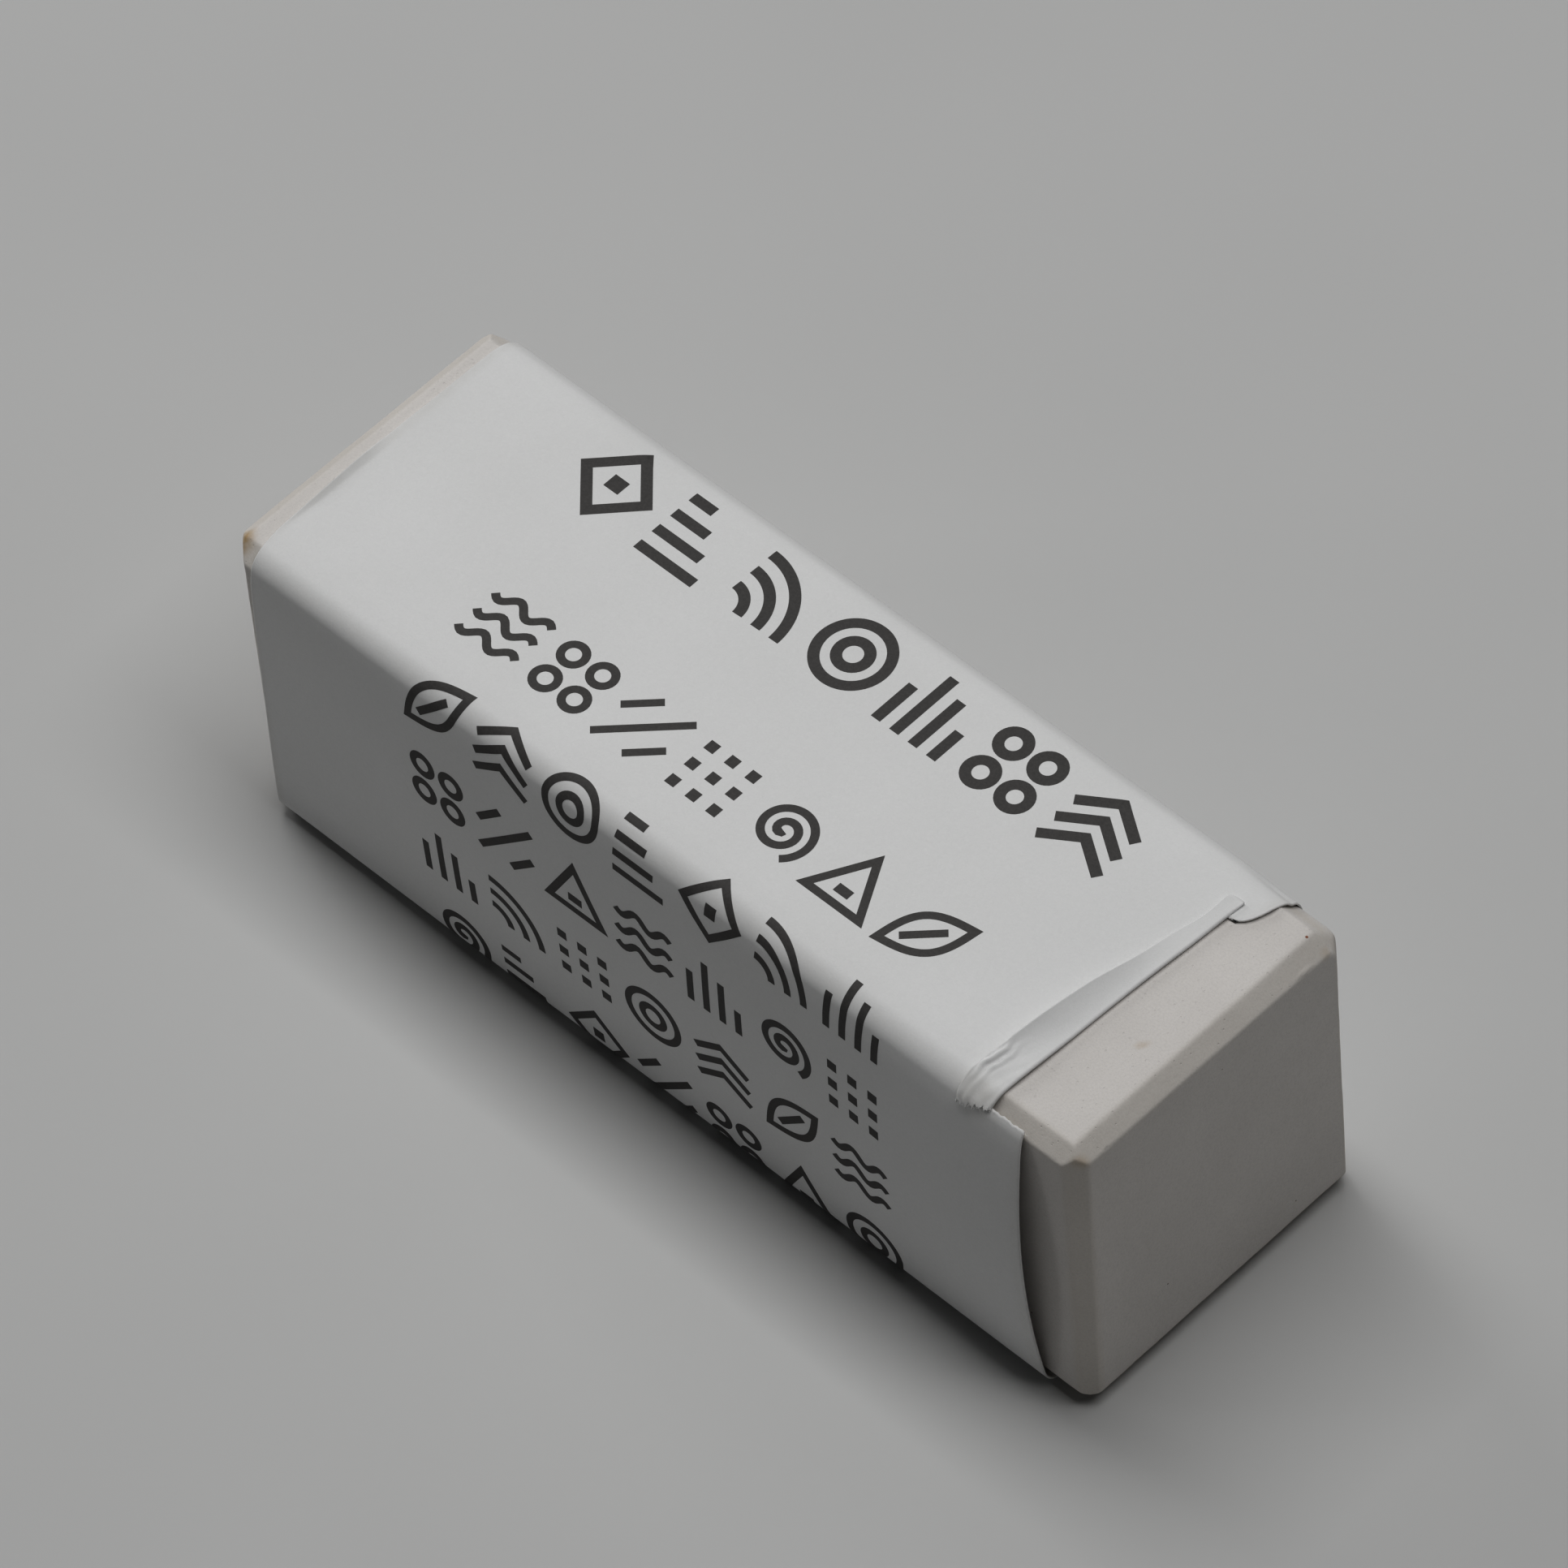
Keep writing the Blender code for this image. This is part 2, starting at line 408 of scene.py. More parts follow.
# Each edge's chamfer: the two faces that it joins, and its width where the edge starts and ends.
# An edge runs along the axis that its two faces leave out, from that axis's low end to its high end.
CHAMFERS = [
    ((1, 0, 0), (0, 0, 1), 1.12, 1.22), ((1, 0, 0), (0, 0, -1), 0.95, 1.10),
    ((-1, 0, 0), (0, 0, 1), 1.25, 1.38), ((-1, 0, 0), (0, 0, -1), 1.10, 1.25),
    ((0, -1, 0), (0, 0, 1), 1.25, 1.12), ((0, -1, 0), (0, 0, -1), 1.30, 0.95),
    ((0, 1, 0), (0, 0, 1), 1.66, 1.78), ((0, 1, 0), (0, 0, -1), 1.10, 1.20),
    ((1, 0, 0), (0, -1, 0), 0.86, 1.22), ((1, 0, 0), (0, 1, 0), 1.12, 1.16),
    ((-1, 0, 0), (0, -1, 0), 2.10, 2.00), ((-1, 0, 0), (0, 1, 0), 1.50, 1.30),
]


def box_lattice(stations):
    """The surface of a box cut into a lattice, and which vertices make up each of its quads."""
    counts = [len(axis) for axis in stations]
    numbers, points, faces = {}, [], []

    def number(index):
        if index not in numbers:
            numbers[index] = len(points)
            points.append([stations[axis][i] for axis, i in enumerate(index)])
        return numbers[index]

    for axis in range(3):
        u, v = (axis + 1) % 3, (axis + 2) % 3
        for end in (0, counts[axis] - 1):
            for i in range(counts[u] - 1):
                for j in range(counts[v] - 1):
                    corners = []
                    for di, dj in ((0, 0), (1, 0), (1, 1), (0, 1)):
                        index = [0, 0, 0]
                        index[axis], index[u], index[v] = end, i + di, j + dj
                        corners.append(number(tuple(index)))
                    faces.append(corners if end else corners[::-1])
    return np.array(points), faces


def soft_excess(depth, rounding):
    """How far to push a point back behind a plane that it is depth in front of, with a soft edge."""
    return rounding * np.logaddexp(0.0, depth / rounding)


def grind_chamfers(points, centre, half):
    """Push the box's surface back behind each chamfer's plane, each a little uneven."""
    for number, (first, second, low_width, high_width) in enumerate(CHAMFERS):
        first, second = np.array(first, float), np.array(second, float)
        along = 1 - np.abs(first) - np.abs(second)
        local = points - centre
        travel = (local @ along) / (half @ along) * 0.5 + 0.5
        width = (low_width + (high_width - low_width) * travel) * MM
        wobble = CHAMFER_WOBBLE * perlin(points * along, 6 * MM, number)
        wobble += CHAMFER_TREMOR * perlin(points * along, 1.3 * MM, number + 40)
        normal = (first + second) / np.sqrt(2.0)
        reach = (half @ np.abs(first) + half @ np.abs(second) - width - wobble) / np.sqrt(2.0)
        excess = soft_excess(local @ normal - reach, EDGE_ROUNDING)
        points = points - normal * excess[:, None]
    return points


def round_corners(points, centre, half):
    """Blunt the tips that the chamfers leave at the eight corners, most of all the worn one."""
    for corner in product((-1, 1), repeat=3):
        cut, rounding = CORNER_CUT, CORNER_ROUNDING
        if corner == (1, 1, 1):
            cut, rounding = WORN_CORNER_CUT, WORN_CORNER_ROUNDING
        normal = np.array(corner) / np.sqrt(3.0)
        reach = half.sum() / np.sqrt(3.0) - cut
        excess = soft_excess((points - centre) @ normal - reach, rounding)
        points = points - normal * excess[:, None]
    return points


def chip_places(centre, half):
    """Chips as (centre, radius): along two chamfers of the exposed end, and at two front corners."""
    random = np.random.default_rng(SEED)
    far, near = centre - half, centre + half
    chips = []
    for _ in range(TOP_CHIPS):
        inset = CHAMFER * random.uniform(0, 1)
        spot = np.array([near[0] - inset, random.uniform(-1, 1) * half[1], near[2]])
        if inset <= CHAMFER / 2:
            spot[2] -= CHAMFER
        chips.append((spot + random.uniform(0.02, 0.10, 3) * MM, random.uniform(0.10, 0.24) * MM))
    for _ in range(UPRIGHT_CHIPS):
        inset = CHAMFER * random.choice([0.0, 1.0])
        height = far[2] + random.uniform(0.1, 0.95) * 2 * half[2]
        spot = np.array([near[0] - (CHAMFER if inset == 0 else 0.0), far[1] + inset, height])
        chips.append((spot + np.array([0.05, -0.05, 0]) * MM, random.uniform(0.08, 0.20) * MM))
    near_corner = np.array([near[0], far[1], near[2]])
    chips.append((near_corner + np.array([-0.15, 0.20, -0.30]) * MM, 0.55 * MM))
    far_corner = np.array([far[0], far[1], near[2]])
    chips.append((far_corner + np.array([0.65, 0.75, -0.15]) * MM, 0.60 * MM))
    return chips


def scoop_chips(points, chips):
    """Press each chip's ball into the surface."""
    for spot, radius in chips:
        away = points - spot
        distance = np.linalg.norm(away, axis=1)
        inside = distance < radius
        push = np.zeros_like(points)
        push[inside] = away[inside] / np.maximum(distance[inside, None], 1e-9)
        points = points + push * (radius - distance)[:, None] * inside[:, None]
    return points


def stone_attributes(mesh, points, centre, half):
    """Masks for the material: worn near the chamfers, and stained in four places."""
    far, near = centre - half, centre + half
    outside = np.sort(half - np.abs(points - centre), axis=1)
    worn = 1 - ease(outside[:, 1], 0.9 * MM, 1.6 * MM)
    stains = [
        ((far[0] + 0.9 * MM, far[1] + 0.9 * MM, near[2] - 0.3 * MM), 1.5 * MM, 1.0),
        ((near[0] - 0.3 * MM, far[1] + 0.8 * MM, near[2] - 0.9 * MM), 0.9 * MM, 0.35),
        ((near[0] - 0.1 * MM, near[1] - 1.9 * MM, near[2] - 1.1 * MM), 0.7 * MM, 0.25),
        ((near[0] - 3.2 * MM, -2.9 * MM, near[2]), 0.35 * MM, 0.45),
    ]
    stain = np.zeros(len(points))
    for place, radius, strength in stains:
        distance = np.linalg.norm(points - np.array(place), axis=1)
        stain = np.maximum(stain, strength * (1 - ease(distance, 0.2 * radius, radius)))
    point_attribute(mesh, "worn", worn)
    point_attribute(mesh, "stain", stain)


def lattice_stations(low, high, face_cell):
    """Stations along one axis of the bar, close together at both of its ends."""
    return graded(low, high, [
        (low, EDGE_CELL), (low + EDGE_BAND, BAND_CELL), (low + EDGE_BAND + BAND_BLEND, face_cell),
        (high - EDGE_BAND - BAND_BLEND, face_cell), (high - EDGE_BAND, BAND_CELL), (high, EDGE_CELL),
    ])


def build_stone():
    centre = np.array((STONE_LOW + STONE_HIGH) / 2)
    half = np.array((STONE_HIGH - STONE_LOW) / 2)
    points, faces = box_lattice([
        lattice_stations(middle - reach, middle + reach, cell)
        for middle, reach, cell in zip(centre, half, FACE_CELLS)
    ])
    points = grind_chamfers(points, centre, half)
    points = round_corners(points, centre, half)
    points = scoop_chips(points, chip_places(centre, half))
    outward = (points - centre) / np.linalg.norm(points - centre, axis=1)[:, None]
    ripple = 0.012 * MM * perlin(points, 4.5 * MM, 3) + 0.006 * MM * perlin(points, 0.5 * MM, 9)
    points = points - outward * np.abs(ripple)[:, None]
    mesh = new_mesh("stone", points.tolist(), faces)
    mesh.shade_smooth()
    stone_attributes(mesh, points, centre, half)
    stone = new_piece("stone", mesh, stone_material(), "stone")
    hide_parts("stone_block")


# -------- the sheet's surface

# How far the sheet stands off its plain section: the front's bow along the bar, how much lower both
# ends of the top lie than its middle, how far the upper folds are pulled in, and finer shapes.
FAR_BOW, MIDDLE_BOW, NEAR_BOW = 0.10 * MM, 0.60 * MM, 1.22 * MM
END_DROP = 0.15 * MM
BACK_HUG, NEAR_BACK_HUG, FRONT_HUG = 0.47 * MM, 0.72 * MM, 0.20 * MM
CURL_HEIGHT, CURL_WIDTH = 0.28 * MM, 0.70 * MM
CURL_TAPER = 0.045  # how much narrower the curl gets with s
CUT_DIP = 0.03 * MM
COCKLING = 0.022 * MM

FOLD_MIDDLE = TOP_HALF + FOLD / 2  # s at the middle of an upper fold
SURVEY_STEP = 0.01 * MM            # for tables and slopes of the surface

# Unevenness of the folded strip at its crumpled corner.
CREASE_HEIGHT = 0.10 * MM
CREASE_PITCH = 0.58 * MM
RUMPLE_HEIGHT = 0.028 * MM

fold_line = smooth_line(FOLD_LINE)
cut_line = smooth_line(CUT_LINE)
cut_height = smooth_line(CUT_HEIGHT)
near_edge = smooth_line(NEAR_EDGE)
front_edge = smooth_line(FRONT_EDGE)
far_edge = smooth_line(FAR_EDGE)


def turned(s):
    """How far the sheet has turned from facing up at s, in radians: a quarter turn at each fold."""
    starts = (TOP_HALF, FRONT_END, UNDER_END)
    turn = sum(np.clip((s - start) / FOLD, 0, 1) for start in starts)
    turn = turn - np.clip((-s - TOP_HALF) / FOLD, 0, 1)
    return turn * pi / 2


def plain_section():
    """Tables of s, y and z along the sheet's inner surface, walked from the middle of the top."""
    s = np.arange(INNER_EDGE_S - MM, OUTER_EDGE_S + MM, SURVEY_STEP)
    turn = turned(s)
    y = -np.cumsum(np.cos(turn)) * SURVEY_STEP
    z = -np.cumsum(np.sin(turn)) * SURVEY_STEP
    y -= np.interp(0.0, s, y)
    z += TOP_Z - np.interp(0.0, s, z)
    return s, y, z


SECTION = plain_section()


def front_bow():
    """A table of s and the front's bow as a share of its depth. It starts and ends inside the folds."""
    s = np.arange(TOP_HALF, UNDER_START + SURVEY_STEP, SURVEY_STEP)
    slope = 1 - 2 * np.clip((s - FRONT_START) / SIDE, 0, 1)
    slope = slope * ease(s, TOP_HALF, FRONT_START) * (1 - ease(s, FRONT_END, UNDER_START))
    rise = np.cumsum(slope)
    return s, rise / rise.max()


FRONT_BOW = front_bow()


def back_height(s):
    """Height up the back, from 0 at its lower fold to 1 at its upper one, for either flap."""
    return np.where(s > 0, (s - BACK_START) / SIDE, 1 - (-s - FRONT_START) / SIDE)


def front_lift(s, x):
    """The front bows out, most of all at the exposed end."""
    to_middle = ease(x, -34 * MM, -14 * MM)
    to_near = ease(x, 12 * MM, 33 * MM)
    depth = FAR_BOW + (MIDDLE_BOW - FAR_BOW) * to_middle + (NEAR_BOW - MIDDLE_BOW) * to_near
    return depth * np.interp(s, *FRONT_BOW, left=0.0, right=0.0)


def back_lift(s):
    """The back bows a little, and its outer flap steps out over the inner one."""
    height = back_height(s)
    on_back = (s > BACK_START) | (s < -FRONT_START)
    bow = np.where(on_back, BACK_BOW * np.sin(pi * np.clip(height, 0, 1)) ** 2, 0)
    seam_low = 0.5 - SEAM_HALF / SIDE
    step = ease(height, seam_low - SEAM_RAMP / SIDE, seam_low - 0.3 * SEAM_RAMP / SIDE)
    return bow + np.where(s > BACK_START, SEAM_STEP * step, 0)


def top_drop(s, x):
    """Both ends of the top lie closer to the bar than its middle does, and the upper folds hug it."""
    flat_top = 1 - ease(np.abs(s), 4 * MM, TOP_HALF)
    ends = ease(x, 22 * MM, 29 * MM) + 1 - ease(x, -34 * MM, -27 * MM)
    back_hug = BACK_HUG + (NEAR_BACK_HUG - BACK_HUG) * ease(x, 29 * MM, 33 * MM)
    drop = END_DROP * flat_top * ends
    drop = drop + back_hug * hump(s, -FOLD_MIDDLE, 2.4 * MM)
    return drop + FRONT_HUG * hump(s, FOLD_MIDDLE, 2.6 * MM)


def end_curl(s, x):
    """The covered end curls up off the bar along the front half of the top."""
    width = CURL_WIDTH - CURL_TAPER * np.clip(s, 0, 10 * MM)
    curl = np.clip(1 - (x - far_edge(s)) / width, 0, 1) ** 1.4
    return CURL_HEIGHT * curl * ease(s, -1.5 * MM, 2.5 * MM) * (1 - ease(s, 4.5 * MM, 10.0 * MM))


def cut_dip(s, x):
    """The top dips a little under the folded strip's cut edge."""
    beside = ease(x - cut_line(s), -0.55 * MM, 0.1 * MM)
    along = hump(s, -6.0 * MM, 3.2 * MM) + hump(s, 9.8 * MM, 2.6 * MM) + 0.35 * hump(s, 2 * MM, 6 * MM)
    return CUT_DIP * beside * along


def cockling(s, x):
    """Faint waves everywhere but on the underside."""
    ripple = np.sin(x / (9.1 * MM) + 1.7 * np.sin(s / (8.3 * MM))) * np.sin(s / (5.7 * MM) + 0.6)
    under = ease(s, FRONT_END, UNDER_START) * (1 - ease(s, UNDER_END, BACK_START))
    return COCKLING * ripple * (1 - under)


def lift(s, x):
    """How far the sheet stands off its plain section at (s, x)."""
    s, x = np.broadcast_arrays(np.asarray(s, float), np.asarray(x, float))
    off = front_lift(s, x) + back_lift(s) - top_drop(s, x)
    return off + end_curl(s, x) - cut_dip(s, x) + cockling(s, x)


def sheet_point(s, x, above=0.0):
    """A point of the sheet's inner surface, raised along its plain section's normal."""
    s, x, above = np.broadcast_arrays(*(np.asarray(v, float) for v in (s, x, above)))
    turn = turned(s)
    off = lift(s, x) + above
    y = np.interp(s, SECTION[0], SECTION[1]) - np.sin(turn) * off
    z = np.interp(s, SECTION[0], SECTION[2]) + np.cos(turn) * off
    return np.stack([x, y, z], -1)


def sheet_normal(s, x):
    """The sheet's outward direction at (s, x)."""
    along_s = sheet_point(s + SURVEY_STEP, x) - sheet_point(s - SURVEY_STEP, x)
    along_x = sheet_point(s, x + SURVEY_STEP) - sheet_point(s, x - SURVEY_STEP)
    normal = np.cross(along_s, along_x)
    return normal / np.linalg.norm(normal, axis=-1, keepdims=True)


def creases(s, from_edge):
    """Sharp ridges that run beside the strip's cut edge."""
    drift = waver(s / MM, (1.3, 1 / 0.95, 0.0), (0.9, 1 / 0.41, 1.0), (0.5, 1 / 0.19, 2.0))
    wave = np.sin(2 * pi * from_edge / CREASE_PITCH + drift - 1.2)
    return np.abs(wave) ** 0.55 * np.sign(wave) + 0.7


def rumples(s, from_edge):
    """Small dents between the creases."""
    slant = np.sin(s / (0.31 * MM) + from_edge / (0.4 * MM))
    return slant * np.sin(s / (0.66 * MM) - from_edge / (0.3 * MM))


def strip_height(s, back, flat):
    """Height of the folded strip over the sheet, at a distance back from its fold."""
    root = 2 * STRIP_RADIUS
    steepness = 2.0 + 1.6 * ease(s, 4.5 * MM, 8.5 * MM)
    height = root + (cut_height(s) - root) * np.clip(back / flat, 0, 1) ** steepness
    # It is crumpled at the front corner.
    from_edge = flat - back
    crumple = ease(s, 6.8 * MM, 9.6 * MM)
    fade = (1 - ease(from_edge, 0.5 * MM, 1.5 * MM)) * ease(back, 0, 0.5 * MM)
    strength = 0.55 + 0.45 * np.sin(s / (0.8 * MM) + 2.0)
    height = height + CREASE_HEIGHT * crumple * fade * strength * creases(s, from_edge)
    return height + RUMPLE_HEIGHT * crumple * ease(back, 0, 0.4 * MM) * rumples(s, from_edge)


def strip_end(place):
    """How far round the sheet the strip reaches past the front tear: ragged, and most at its cut."""
    reach = 0.12 + 0.62 * ease(place, 0.9, 1.9)
    jag = waver(place, (0.10, 31.0, 0.0), (0.07, 57.0, 1.0), (0.05, 101.0, 0.0))
    return CORNER_TEAR_S + (reach + jag * ease(place, 0.2, 0.8)) * MM


def strip_point(s, place):
    """A point of the folded strip. place runs from 0 to 1 round its fold, and 1 to 2 back to its cut."""
    s, place = np.broadcast_arrays(np.asarray(s, float), np.asarray(place, float))
    centre = fold_line(s) - STRIP_RADIUS
    angle = pi * np.clip(place, 0, 1)
    flat = centre - cut_line(s)
    back = flat * np.clip(place - 1, 0, 1)
    x = centre + STRIP_RADIUS * np.sin(angle) - back
    height = np.where(place < 1, STRIP_RADIUS * (1 - np.cos(angle)), strip_height(s, back, flat))
    # Past the tears, the strip is free of the sheet and rests on it.
    free = ease(-s, -TAB_TEAR_S, -STRIP_FROM_S)
    rest = (1 - np.clip(place, 0, 1)) * free * STRIP_REST
    base = np.minimum(x, centre)
    lifted = sheet_point(s, base, height + rest)
    lifted[..., 0] = x
    return lifted


# -------- the sheet

# The main sheet's columns: (share of the way from the covered end to the stitch line, spacing).
MAIN_COLUMNS = [(0.0, 0.0012), (0.016, 0.0014), (0.03, 0.006), (0.07, 0.014), (0.90, 0.014),
                (0.95, 0.0035), (1.0, 0.0026)]
END_COLUMNS = 19       # from the stitch line to the sheet's own end
BEND_COLUMNS = 13      # round the strip's fold
STRIP_COLUMNS = 36     # from its fold back to its cut edge
TEAR_SIZE = 0.06 * MM  # how ragged the tears are
TEAR_REACH = 0.7 * MM  # how far from a tear its rows are shifted


def sheet_rows():
    """Stations round the sheet in three runs that meet at the two tears."""
    # Close together at the folds, the tears and the crumpled corner.
    stops = [(INNER_EDGE_S, 0.5), (-FRONT_START - MM, 0.5), (-FRONT_START, 0.22), (-TOP_HALF, 0.22),
             (-9.6 * MM, 0.22), (-7.0 * MM, 0.22), (-5.0 * MM, 0.40), (5.0 * MM, 0.40),
             (7.0 * MM, 0.16), (FRONT_START, 0.16), (FRONT_START + 2 * MM, 0.45),
             (FRONT_END - MM, 0.5), (FRONT_END, 0.25), (UNDER_START, 0.25), (UNDER_START + MM, 0.9),
             (UNDER_END - MM, 0.9), (UNDER_END, 0.25), (BACK_START, 0.25),
             (BACK_START + MM, 0.4), (OUTER_EDGE_S, 0.4)]
    stops = [(place, gap * MM) for place, gap in stops]
    breaks = (INNER_EDGE_S, TAB_TEAR_S, CORNER_TEAR_S, OUTER_EDGE_S)
    return [graded(start, end, stops) for start, end in zip(breaks, breaks[1:])]


def stitch_line(s):
    """Where the main sheet meets the strip's fold, or the parts that still reach the sheet's end."""
    return fold_line(np.clip(s, TAB_TEAR_S, CORNER_TEAR_S)) - STRIP_RADIUS


def ragged_tear(s, x, tear, size):
    """Shift the rows near a tear so that its edge is ragged."""
    jag = waver(x / MM, (0.6, 5.3, 0.7), (0.4, 12.1, 2.0), (0.25, 27.0, 0.0))
    return s + size * jag * (1 - ease(np.abs(s - tear), 0, TEAR_REACH))


def add_main(sheets, rows):
    """The main sheet, from its covered end to the stitch line, whose vertex numbers it returns."""
    s = rows[:, None]
    low, high = far_edge(s), stitch_line(s)
    numbers = sheets.add_points(sheet_point(s, low + (high - low) * graded(0.0, 1.0, MAIN_COLUMNS)))
    sheets.add_faces(numbers)
    return numbers[:, -1]


def add_end(sheets, rows, stitch, end_line, tear):
    """A part of the sheet that still reaches its own end, from the stitch line on."""
    s = rows[:, None]
    root = stitch_line(s)
    x = root + (end_line(s) - root) * np.linspace(0, 1, END_COLUMNS)[1:]
    torn = ragged_tear(s, x, tear, TEAR_SIZE * ease(x - root, 0, 0.4 * MM))
    numbers = sheets.add_points(sheet_point(torn, x))
    sheets.add_faces(np.hstack([stitch[:, None], numbers]))


def add_strip(sheets, rows, stitch):
    """The torn strip, folded back over the top. Its ends reach past the tears."""
    places = np.concatenate([np.linspace(0, 1, BEND_COLUMNS)[:-1], np.linspace(1, 2, STRIP_COLUMNS)])
    back = np.linspace(STRIP_FROM_S, TAB_TEAR_S, 9)[:-1, None]
    rounding = 0.45 * MM * np.abs(places - 1.15) ** 3 * ease(TAB_TEAR_S - back, 0, 1.4 * MM)
    front = np.linspace(0, 1, 7)[1:, None]
    grid = np.vstack([
        back + rounding,
        rows[:, None] + 0 * places,
        CORNER_TEAR_S + front * (strip_end(places) - CORNER_TEAR_S),
    ])
    numbers = sheets.add_points(strip_point(grid, places))
    numbers[len(back):len(back) + len(rows), 0] = stitch
    sheets.add_faces(numbers)


def drop_unused_points(work):
    """Delete the vertices that belong to no face."""
    loose = [vert for vert in work.verts if not vert.link_faces]
    bmesh.ops.delete(work, geom=loose, context="VERTS")


def build_sheet_mesh():
    before, between, after = sheet_rows()
    rows = np.concatenate([before, between[1:], after[1:]])
    back_tear, front_tear = len(before) - 1, len(before) + len(between) - 2
    sheets = Sheets()
    stitch = add_main(sheets, rows)
    # The tab and the back, then the front and the underside.
    add_end(sheets, rows[:back_tear + 1], stitch[:back_tear + 1], near_edge, TAB_TEAR_S)
    add_end(sheets, rows[front_tear:], stitch[front_tear:], front_edge, CORNER_TEAR_S)
    add_strip(sheets, between, stitch[back_tear:front_tear + 1])
    mesh = sheets.mesh("sleeve_sheet")
    rework(mesh, drop_unused_points)
    return mesh, rows


def handled_mask(mesh):
    """A mask for grime: the long folds, the sheet's ends and the crumpled corner."""
    points = np.array([vert.co for vert in mesh.vertices])
    out_y = ease(np.abs(points[:, 1]), TOP_HALF, HALF_WIDTH)
    out_z = ease(np.abs(points[:, 2] - TOP_Z / 2), TOP_Z / 2 - FOLD_RADIUS, TOP_Z / 2)
    near_end = ease(points[:, 0], 32.2 * MM, 33.6 * MM)
    far_end = ease(-points[:, 0], 34.2 * MM, 35 * MM)
    corner = np.array([29.2 * MM, -HALF_WIDTH, TOP_Z - 0.4 * MM])
    by_corner = 1 - ease(np.linalg.norm(points - corner, axis=1), 0.5 * MM, 2.6 * MM)
    mask = 0.7 * out_y * out_z + 0.6 * np.maximum(near_end, far_end) + 0.8 * by_corner
    point_attribute(mesh, "handled", np.clip(mask, 0, 1))


def build_sleeve(material):
    mesh, rows = build_sheet_mesh()
    handled_mask(mesh)
    mesh.shade_smooth()
    sleeve = new_piece("sleeve_sheet", mesh, material, "sleeve")
    thicken(sleeve, PAPER)
    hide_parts("paper_sleeve")
    width = float(np.mean(front_edge(rows[rows > 0]) - far_edge(rows[rows > 0])))


# -------- torn fibres

EDGE_FIBRES = 48        # at the torn edge of the front
STRIP_FIBRES = 46       # at the torn end of the strip
FIBRE_ROOT = 0.10 * MM  # how far inside the torn edge a fibre starts
FIBRE_BEND = 0.3        # the most that a fibre bends, as a share of its length
FIBRE_STEPS, FIBRE_SIDES = 5, 5


def unit(vector):
    return vector / max(np.linalg.norm(vector), 1e-9)


def strand(sheets, root, tip, bend, thick):
    """One paper fibre: a thin tapering tube from root to tip."""
    along = tip - root
    side = unit(np.cross(along, (0.0, 0.0, 1.0)))
    other = unit(np.cross(along, side))
    t = np.linspace(0, 1, FIBRE_STEPS)[:, None, None]
    turn = np.linspace(0, 2 * pi, FIBRE_SIDES, endpoint=False)[:, None]
    centre = root + along * t + side * bend * np.sin(pi * t)
    ring = (np.cos(turn) * side + np.sin(turn) * other) * thick * (1 - 0.8 * t)
    numbers = sheets.add_points(centre + ring)
    sheets.add_faces(np.hstack([numbers, numbers[:, :1]]))
    sheets.faces.append(numbers[0][::-1].tolist())
    sheets.faces.append(numbers[-1].tolist())


def add_fibre(sheets, random, root, lengths, directions, thicknesses):
    """One fibre from root, drawn from ranges in millimetres and a range of direction on each axis."""
    reach = random.uniform(*lengths) * MM
    tip = root + np.array([random.uniform(*between) for between in directions]) * reach
    bend = random.uniform(-FIBRE_BEND, FIBRE_BEND) * reach
    strand(sheets, root, tip, bend, random.uniform(*thicknesses) * MM)


def build_fibres(material):
    """Fibres that stick out of the torn edges at the front corner."""
    random = np.random.default_rng(SEED + 1)
    sheets = Sheets()
    for _ in range(EDGE_FIBRES):
        x = random.uniform(30.4, 33.5) * MM
        root = sheet_point(CORNER_TEAR_S + FIBRE_ROOT, x, PAPER * random.uniform(0.2, 0.8))
        up_and_out = ((-0.8, 0.8), (-0.35, 0.35), (0.0, 0.5))
        add_fibre(sheets, random, root, (0.12, 0.42), up_and_out, (0.008, 0.016))
    for _ in range(STRIP_FIBRES):
        place = random.uniform(0.9, 2.0)
        root = strip_point(strip_end(place) - FIBRE_ROOT, place)
        down_and_out = ((-0.6, 0.6), (-0.7, 0.1), (-0.9, 0.1))
        add_fibre(sheets, random, root, (0.15, 0.45), down_and_out, (0.008, 0.018))
    mesh = sheets.mesh("torn_fibres")
    mesh.shade_smooth()
    new_piece("torn_fibres", mesh, material, "sleeve")


# -------- print

INK = 0.012 * MM          # how far the ink stands on the paper
INK_DEPTH = 0.030 * MM    # how far it is sunk in
STROKE_CELL = 0.20        # the longest facet of a stroke, in millimetres
STROKE_COLUMNS = 5        # points across a stroke
SHARP_TURN = radians(25)  # a stroke that turns more than this has a mitred corner
MITRE_CLEARANCE = 0.55    # in widths of the stroke; at 0.5 its inner edge would meet itself

# Rows of ornaments, in millimetres: the place of their middle, their pitch, their size and their strokes.
HEADING = {"s": -7.30, "x": -0.05, "pitch": 7.0, "height": 5.8, "width": 5.7, "stroke": 0.78}
BODY = {"s": 5.68, "x": 0.0, "pitch": 6.15, "height": 4.9, "width": 5.0, "stroke": 0.58}
ROW_PITCH = 7.65
SHEET_SKEW = 0.02  # the rows drift towards the exposed end by this much of s


def path(*points, closed=False, weight=1.0):
    """A stroke through points of a unit square, x to the right and y down, with mitred corners."""
    return np.array(points, float), closed, weight


def polar(cx, cy, radius, angles):
    """Points about a centre, at a radius and an angle each."""
    return zip(cx + radius * np.cos(angles), cy + radius * np.sin(angles))


def arc(cx, cy, radius, start, end):
    """A stroke along part of a circle, from one angle to another in degrees."""
    return path(*polar(cx, cy, radius, np.radians(np.linspace(start, end, 40))))


